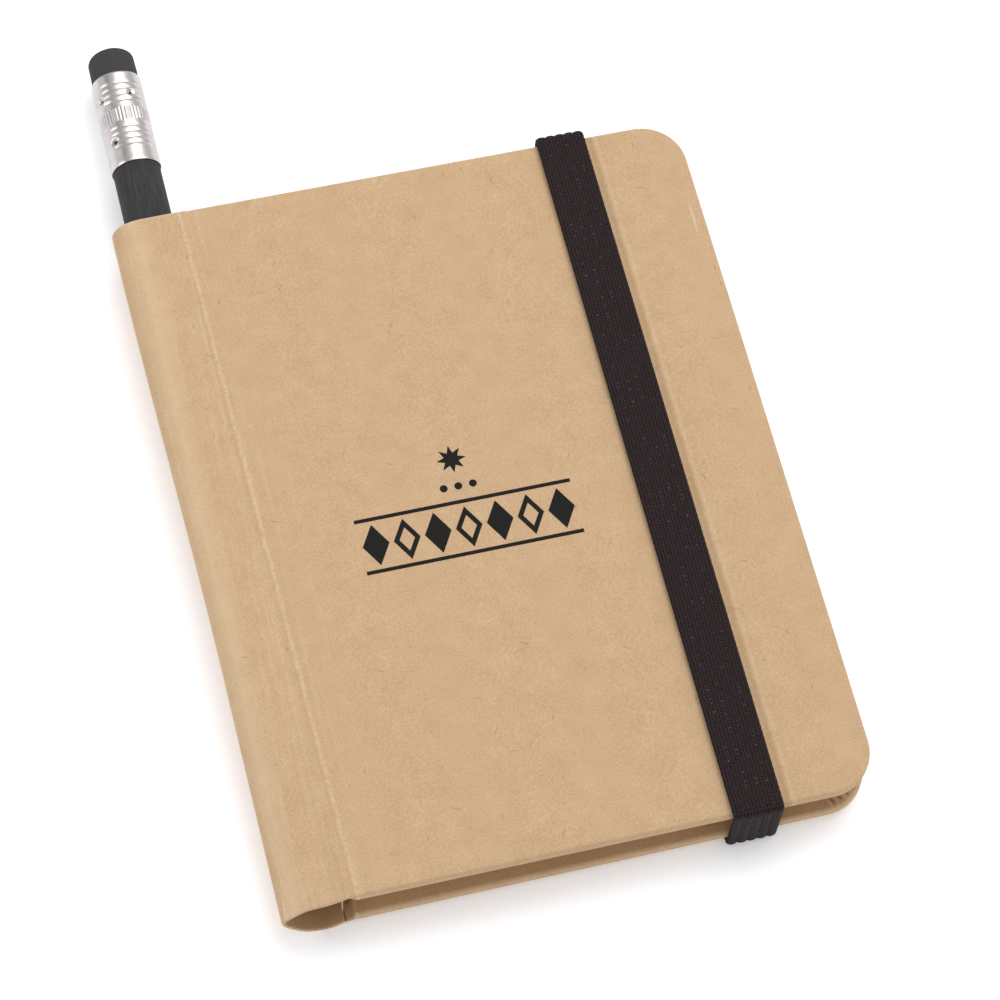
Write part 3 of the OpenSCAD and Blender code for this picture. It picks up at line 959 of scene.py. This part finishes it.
def grow(obj, tree, values):
    """Runs a tree on obj with named values and keeps the result as a plain mesh."""
    run = obj.modifiers.new(tree.name, "NODES")
    run.node_group = tree
    sockets = {s.name: s.identifier for s in tree.interface.items_tree if s.in_out == "INPUT"}
    for label, value in values.items():
        run[sockets[label]] = value
    return apply_modifiers(obj, sharp=50)


LEAVES = 6
LEAF_T = 0.085
SECTION_T = 0.66
leaf_stack = leaf_stack_tree()
front_turn = {joint["child"]: joint for joint in frame["joints"] if joint["name"].endswith("_turn")}
print("bodies that turn with the covers:", ", ".join(front_turn))

# %% [markdown]
# Each section is drawn at the crease and then tilted as its imported solid is. `section_1` stays
# with the spine. The others keep that slope right up to the spine, though a sewn leaf curves over
# about its first nine millimetres when a book is open.


# %% Sections and flyleaves
def lay_in_place(obj, node):
    """Moves a sheet drawn at height 0 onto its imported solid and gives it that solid's slope."""
    low, high = box_mm(node)
    points = np.array([v.co for v in frame["nodes"][node].data.vertices]) / MM
    near = points[points[:, 0] < low.x + 1]
    far = points[points[:, 0] > high.x - 1]
    base, drop = near[:, 2].min(), near[:, 2].min() - far[:, 2].min()
    slope = math.asin(drop / (high.x - low.x))
    lean = Matrix.Translation((CREASE_X * MM, 0, base * MM)) @ Matrix.Rotation(slope, 4, "Y")
    obj.data.transform(lean)
    return base


def flat_height(x, y):
    return 0.0


page_low, page_high = box_mm("section_1")
PAGE_X, PAGE_END = page_low.x - CREASE_X, page_high.x - CREASE_X
PAGE_H = page_high.y - page_low.y
for number in range(1, 7):
    node = f"section_{number}"
    leaf = paper_sheet(f"leaves_{number}", PAGE_X, PAGE_END, PAGE_H, LEAF_T, flat_height, rows=3)
    grow(leaf, leaf_stack, {"Leaves": LEAVES, "Pitch": SECTION_T / LEAVES * MM,
                            "Fold depth": 0.14 * MM, "Unevenness": 0.05 * MM, "Seed": number,
                            "Paper": PAGE})
    height = lay_in_place(leaf, node)
    dress(leaf, PAGE, "page", node)
    if node in front_turn:
        hinge_blend(leaf)
    else:
        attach(leaf, "spine")
for side in ("front", "back"):
    node = side + "_flyleaf"
    flyleaf = paper_sheet(side + "_free_endpaper", PAGE_X, PAGE_END, PAGE_H, PASTE_T, flat_height,
                          rows=3)
    height = lay_in_place(flyleaf, node)
    dress(flyleaf, PAGE, "page", node)
    hinge_blend(flyleaf)
print("6 sections and 2 flyleaves,", round(PAGE_H), "mm high")

# %% [markdown]
# ## Elastic strap
# The strap is one knitted tape. It comes out of a slot in the back cover, runs round one edge,
# over the front, round the other edge and back in, and its ends lie flat under the pastedown. It
# is swept along that path with a ribbed cross-section: five ribs with narrow valleys, each made
# of small knit cells that form a chevron.

# %% Strap path
RIBS = 5
WALES = 3            # columns of stitches on a rib
CELL = 0.62          # length of a knit cell
CELL_H = 0.018
RIB_H = 0.09         # on the front, where the strap is stretched flat
SIDE_RIB_H = 0.3     # where it turns round the edges and bunches
FRONT_SHADE = 0.55   # how dark a valley is on the front, compared with one on a side
STRAP_BEND_R = 0.62
TAB_T = 0.5          # where it lies in the board
STRAP_STEP = 0.2
STRAP_ACROSS = 36


def rounded_path(corners, radius, step):
    """Evenly spaced points along a path whose corners are rounded."""
    corners = np.asarray(corners, float)
    path = [corners[0]]
    for before, here, after in zip(corners, corners[1:], corners[2:]):
        come, go = here - before, after - here
        come, go = come / np.linalg.norm(come), go / np.linalg.norm(go)
        start, end = here - come * radius, here + go * radius
        for t in np.linspace(0, 1, 9):
            path.append((1 - t) ** 2 * start + 2 * t * (1 - t) * here + t ** 2 * end)
    path.append(corners[-1])
    length = sum(np.linalg.norm(np.diff(path, axis=0), axis=1))
    return even_points(path, int(length / step))


strap_top = strap_high.z - STRAP_T / 2
strap_side = strap_high.y - STRAP_T / 2
tab_z = COVER_T - TAB_T / 2
half_path = [(end_low.y, tab_z), (SLOT_Y, tab_z), (SLOT_Y, -STRAP_T / 2),
             (strap_side, -STRAP_T / 2), (strap_side, strap_top)]
strap_path = rounded_path(half_path + [(-y, z) for y, z in half_path[::-1]], STRAP_BEND_R,
                          STRAP_STEP)
strap_ways = np.gradient(strap_path, axis=0)
strap_ways /= np.linalg.norm(strap_ways, axis=1)[:, None]
print("strap path:", round(STRAP_STEP * len(strap_path)), "mm")

# %% [markdown]
# The points of each cross-section go once round the tape: over the outer face with its ribs and
# back along the inner one. Where it lies in the board the tape is pressed to half its height.


# %% Strap mesh
def rib_dome(across):
    """0 in a valley and 1 on a rib; across runs from -1 to 1."""
    return math.sqrt(max(math.sin(math.pi * ((across + 1) / 2 * RIBS % 1)), 0))


def rib_height(across, along, depth):
    """Height of the knit above the tape's mean face, with ribs of the given depth."""
    place = (across + 1) / 2 * RIBS
    chevron = along / CELL + 0.5 * math.floor(place) + 0.45 * abs(place % 1 - 0.5)
    cell = 0.5 + 0.5 * math.cos(2 * math.pi * chevron)
    return depth * (rib_dome(across) - 0.75) + CELL_H * cell * rib_dome(across)


def strap_mesh():
    along = np.arange(len(strap_path)) * STRAP_STEP
    across = np.sin(np.linspace(-math.pi / 2, math.pi / 2, STRAP_ACROSS))
    across = 0.5 * across + 0.5 * np.linspace(-1, 1, STRAP_ACROSS)
    points, marks = [], []
    for (y, z), (way_y, way_z), s in zip(strap_path, strap_ways, along):
        in_board = smooth_step(abs(y), SLOT_Y, SLOT_Y - 1) * (1 if 0 < z < COVER_T else 0)
        half_thick = (STRAP_T + (TAB_T - STRAP_T) * in_board) / 2
        slope = math.tan(TILT) * min(max(z / strap_top, 0), 1)
        half_w = STRAP_W / 2 * (1 + 0.004 * math.sin(2 * math.pi * s / 0.9))
        on_side = way_z ** 2
        rib = RIB_H + (SIDE_RIB_H - RIB_H) * on_side
        for face, order in ((1, across), (-1, across[::-1])):
            for w in order:
                round_edge = half_thick * (1 - 0.35 * abs(w) ** 8)
                lift = face * (round_edge + rib_height(w, s, rib) * (1 - in_board))
                x = w * half_w
                points.append((STRAP_X + x, y + way_z * lift, z - way_y * lift - x * slope))
                # the tape attribute's z: painted shade of the valleys, deeper where the strap turns
                # round the edges
                valley = (1 - rib_dome(w)) * (FRONT_SHADE + (1 - FRONT_SHADE) * on_side)
                marks.append(((w + 1) / 2 * RIBS * WALES, s, 1 - valley))
    ring = 2 * STRAP_ACROSS
    faces = grid_faces(len(strap_path), ring, closed=True)
    last = (len(strap_path) - 1) * ring
    faces += [tuple(range(ring)), tuple(range(last + ring - 1, last - 1, -1))]
    return new_piece("elastic_strap", points, faces, 80, {"tape": marks})


strap = strap_mesh()
print("strap:", len(strap.data.polygons), "faces")

# %% [markdown]
# A few stitches of yarn stand out of the valleys as paler specks. A tree resamples lines that
# run along the valleys and puts a small grain of yarn at each step, with a random size.


# %% Loose stitches
STITCH_SINK = 0.05  # how far the yarn sits below the tape's mean face


def stitch_tree():
    tree, given = new_tree("loose stitches", [
        ("Lines", "Geometry"), ("Pitch", "Float"), ("Size", "Float"), ("Seed", "Int"),
        ("Yarn", "Material")])
    curve = add(tree, "GeometryNodeMeshToCurve", links={0: given["Lines"]})
    spaced = add(tree, "GeometryNodeResampleCurve", mode="LENGTH",
                 links={"Curve": curve.outputs[0], "Length": given["Pitch"]})
    grain = add(tree, "GeometryNodeMeshIcoSphere", {"Radius": 1.0, "Subdivisions": 1})
    shape = add(tree, "GeometryNodeTransform", {"Scale": (1, 2.2, 1)}, {0: grain.outputs[0]})
    size = add(tree, "FunctionNodeRandomValue", {2: 0.35, 3: 1.0}, {"Seed": given["Seed"]},
               data_type="FLOAT")
    turn = add(tree, "FunctionNodeAlignRotationToVector",
               links={"Vector": add(tree, "GeometryNodeInputTangent").outputs[0]}, axis="Y")
    keep = add(tree, "FunctionNodeRandomValue", {6: 0.45}, {"Seed": given["Seed"]},
               data_type="BOOLEAN")
    grains = add(tree, "GeometryNodeInstanceOnPoints",
                 links={"Points": spaced.outputs[0], "Instance": shape.outputs[0],
                        "Rotation": turn.outputs[0], "Selection": keep.outputs[3],
                        "Scale": product(tree, size.outputs[1], given["Size"])})
    close_tree(tree, grains.outputs[0], given["Yarn"])
    return tree


def valley_lines():
    """Lines along the valleys between the ribs, on the strap's outer face."""
    shown = [n for n, (_, z) in enumerate(strap_path) if z > COVER_T or z < 0]
    points, edges = [], []
    lift = STRAP_T / 2 - STITCH_SINK
    for valley in range(1, RIBS):
        w = 2 * valley / RIBS - 1
        first = len(points)
        for n in shown:
            (y, z), (way_y, way_z) = strap_path[n], strap_ways[n]
            x, slope = w * STRAP_W / 2, math.tan(TILT) * z / strap_top
            points.append((STRAP_X + x, y + way_z * lift, z - way_y * lift - x * slope))
        edges += [(first + k, first + k + 1) for k in range(len(shown) - 1)
                  if shown[k + 1] == shown[k] + 1]
    mesh = bpy.data.meshes.new("elastic_stitches")
    mesh.from_pydata([tuple(np.array(p) * MM) for p in points], edges, [])
    obj = bpy.data.objects.new("elastic_stitches", mesh)
    bpy.context.scene.collection.objects.link(obj)
    return obj


stitches = grow(valley_lines(), stitch_tree(),
                {"Pitch": 0.66 * MM, "Size": 0.1 * MM, "Seed": 4, "Yarn": YARN})
dress(strap, ELASTIC, "elastic", "elastic_loop", "elastic_head_end", "elastic_tail_end")
dress(stitches, YARN, "elastic")
for obj in (strap, stitches):
    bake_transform(obj)
print("stitches:", len(stitches.data.polygons), "faces")

# %% [markdown]
# ## Pencil
# A pencil is turned about its length, so each part is a profile spun round its axis. A function
# takes the profile as (distance along the pencil, radius) and may add a ripple to the radius,
# which is how the ferrule gets its flutes and punch marks.


# %% Turned parts
case_low, case_high = box_mm("pencil_casing")
metal_low, metal_high = box_mm("pencil_ferrule")
rubber_low, rubber_high = box_mm("pencil_eraser")
lead_low, lead_high = box_mm("pencil_lead")
AXIS_X, AXIS_Z = (case_low.x + case_high.x) / 2, (case_low.z + case_high.z) / 2
PENCIL_R = (case_high.x - case_low.x) / 2
FERRULE_R = (metal_high.x - metal_low.x) / 2


def turned(name, profile, sides, ripple=None, closed=False, sharp=40):
    """Spins a profile about the pencil's axis. ripple(y, angle) is added to the radius."""
    points = []
    for y, radius in profile:
        for angle in np.linspace(0, 2 * math.pi, sides, endpoint=False):
            r = radius + (ripple(y, angle) if ripple and radius > 0 else 0)
            points.append((AXIS_X + r * math.sin(angle), y, AXIS_Z + r * math.cos(angle)))
    faces = grid_faces(len(profile), sides, closed=True)
    if closed:
        last = (len(profile) - 1) * sides
        faces += [(last + c, last + (c + 1) % sides, (c + 1) % sides, c) for c in range(sides)]
    return new_piece(name, points, faces, sharp)


# %% [markdown]
# The casing is a round stick whose end was cut by a sharpener: a straight cone that stops where
# the lead comes out. Its long sides carry a very slight unevenness from sanding.


# %% Casing
LEAD_R = (lead_high.x - lead_low.x) / 2
CUT_R = LEAD_R + 0.25   # the wood's thin end at the lead
CONE_L = 17
cone_y = case_low.y + CONE_L


def sanded(y, angle):
    """The slight unevenness that sanding leaves."""
    return 0.012 * math.sin(3 * angle + y * 0.11) + 0.008 * math.sin(7 * angle - y * 0.07)


casing_profile = [(case_low.y, LEAD_R), (case_low.y, CUT_R)]
casing_profile += [(case_low.y + CONE_L * t, CUT_R + (PENCIL_R - CUT_R) * t)
                   for t in np.linspace(0.06, 1, 16)]
casing_profile += [(y, PENCIL_R) for y in np.linspace(cone_y + 1, case_high.y, 40)]
casing_profile += [(case_high.y, LEAD_R)]
casing = turned("wooden_casing", casing_profile, 96, sanded, closed=True)
dress(casing, WOOD, "black_wood", "pencil_casing")
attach(casing, "pencil")
print("casing from", round(case_low.y, 1), "to", round(case_high.y, 1), "mm")

# %% [markdown]
# The ferrule is a thin aluminium sleeve, rolled and punched onto the wood and the eraser. From
# the top it has a smooth ring, four grooves, a band of fine flutes, four more grooves and a
# second smooth ring. Round punch marks hold the eraser and the wood.

# %% Ferrule
METAL_T = 0.12
GROOVES = 4
GROOVE_PITCH = 1.0
GROOVE_DEPTH, GROOVE_HALF_W = 0.075, 0.17
UPPER_GROOVE, LOWER_GROOVE = 1.9, 2.9   # from the top and from the foot
FLUTES = 44
FLUTE_BAND = (6.0, 8.4)                 # down from the top
FLUTE_DEPTH, FLUTE_RISE = 0.08, 0.03
END_DROP, FOOT_SWELL = 0.05, 0.02
PUNCHES = ((3.9, -51), (3.7, 26), (11.4, -39), (11.6, 150), (4.0, 190))  # down, angle
PUNCH_DEPTH, PUNCH_R = 0.3, 0.45
RIM_H, RIM_R = 0.06, 0.75
groove_depths = [UPPER_GROOVE + n * GROOVE_PITCH for n in range(GROOVES)]
sleeve_l = metal_high.y - metal_low.y
groove_depths += [sleeve_l - LOWER_GROOVE - n * GROOVE_PITCH for n in range(GROOVES)]


def bell(distance, half_width):
    """1 at no distance, falling softly to about a third at half_width."""
    return math.exp(-(distance / half_width) ** 2)


def rolled(y, angle):
    """Grooves, flutes, punch marks and rounded ends, as a change of radius."""
    down = metal_high.y - y
    change = -END_DROP * bell(min(down, sleeve_l - down), 0.12)
    change += FOOT_SWELL * bell(down - sleeve_l + 0.5, 0.5)
    change -= GROOVE_DEPTH * sum(bell(down - g, GROOVE_HALF_W) for g in groove_depths)
    top, foot = FLUTE_BAND
    in_band = smooth_step(down, top, top + 0.2) * smooth_step(-down, -foot, -foot + 0.2)
    change += in_band * (FLUTE_RISE - FLUTE_DEPTH * abs(math.cos(FLUTES * angle / 2)) ** 3)
    for punch_down, punch_angle in PUNCHES:
        off = (math.degrees(angle) - punch_angle + 180) % 360 - 180
        away = math.hypot(down - punch_down, math.radians(off) * FERRULE_R)
        change += RIM_H * bell(away - RIM_R, 0.25) - PUNCH_DEPTH * bell(away, PUNCH_R)
    return change


sleeve_profile = [(y, FERRULE_R) for y in np.linspace(metal_low.y, metal_high.y, 150)]
sleeve = turned("ferrule_sleeve", sleeve_profile, 264, rolled, sharp=60)
wall = sleeve.modifiers.new("sheet metal", "SOLIDIFY")
wall.thickness, wall.offset = METAL_T * MM, -1
apply_modifiers(sleeve, sharp=60)
dress(sleeve, FERRULE, "ferrule", "pencil_ferrule")
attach(sleeve, "pencil")
print("ferrule:", len(sleeve.data.polygons), "faces")

# %% [markdown]
# The eraser is a short plug of soft rubber. Its upper edge was rounded in a tumbler, and its top
# is very slightly domed.

# %% Eraser
ERASER_R = (rubber_high.x - rubber_low.x) / 2
EDGE_R = 1.3
DOME_H = 0.08
edge_y = rubber_high.y - EDGE_R
plug_profile = [(rubber_low.y, 0), (rubber_low.y, ERASER_R)]
plug_profile += [(y, ERASER_R) for y in np.linspace(rubber_low.y + 0.5, edge_y, 16)]
plug_profile += [(edge_y + (EDGE_R - DOME_H) * math.sin(a), ERASER_R - EDGE_R * (1 - math.cos(a)))
                 for a in np.radians(np.linspace(9, 90, 10))]
plug_profile += [(rubber_high.y - DOME_H * t, (ERASER_R - EDGE_R) * t) for t in (0.66, 0.33, 0)]


def tumbled(y, angle):
    """The softly uneven side of an eraser that was rounded in a tumbler."""
    return 0.02 * math.sin(2 * angle + y) + 0.012 * math.sin(5 * angle - 1.7 * y)


plug = turned("eraser_plug", plug_profile, 96, tumbled)
dress(plug, ERASER, "eraser", "pencil_eraser")
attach(plug, "pencil")
print("eraser stands", round(rubber_high.y - metal_high.y, 1), "mm out of its sleeve")

# %% [markdown]
# ## Stage and light
# The notebook lies on a plain white table that is lit from below as well, so only its deepest
# shadows show. A broad lamp above the right side of the head lights the front cover and a small
# one at the left draws a bright line on the metal. The white surroundings soften all shadows, and
# a dark gap in them, as between two soft boxes, draws the grey line beside the bright one.

# %% Stage and light
FLOOR_Z = -1.32
bpy.ops.mesh.primitive_plane_add(size=6, location=(0, 0, FLOOR_Z * MM))
floor = bpy.context.object
floor.name = "white_table"
TABLE_TOP, _, _ = new_finish("lit white table top", "#fafbff", Roughness=0.9, Specular_IOR_Level=0.1,
                             Emission_Color=(1, 1, 1, 1), Emission_Strength=0.22)
floor.data.materials.append(TABLE_TOP)


def lamp(name, location, size, power, aim=(0, 0, 0)):
    """A square soft box that points at aim."""
    light = bpy.data.lights.new(name, "AREA")
    light.size, light.energy = size, power
    obj = bpy.data.objects.new(name, light)
    obj.location = location
    obj.rotation_euler = (Vector(aim) - Vector(location)).to_track_quat("-Z", "Y").to_euler()
    bpy.context.scene.collection.objects.link(obj)


lamp("key lamp", (0.3, 0.34, 0.9), 0.9, 6.5)
lamp("left strip", (-0.8, 0.2, 0.42), 0.4, 1.3)
bpy.context.scene.view_settings.view_transform = "Standard"  # colours stay as picked

GAP_X = -0.55    # the dark gap, by the direction's X
GAP_HALF = 0.1
SKY, GAP_SKY = 0.68, 0.16
world = bpy.data.worlds.new("studio")
world.use_nodes = True
sky = world.node_tree
direction = add(sky, "ShaderNodeTexCoord").outputs["Generated"]
way = add(sky, "ShaderNodeSeparateXYZ", links={"Vector": direction})
off_gap = maths(sky, "ABSOLUTE", maths(sky, "SUBTRACT", way.outputs["X"], GAP_X), 0)
in_gap = product(sky, ranged(sky, off_gap, GAP_HALF, 0.4 * GAP_HALF),
                 ranged(sky, way.outputs["Z"], 0.35, 0.55))
backdrop = sky.nodes["Background"]
backdrop.inputs["Color"].default_value = (1, 1, 1, 1)
sky.links.new(ranged(sky, in_gap, 0, 1, SKY, GAP_SKY), backdrop.inputs["Strength"])
bpy.context.scene.world = world
print("lamps and table ready")
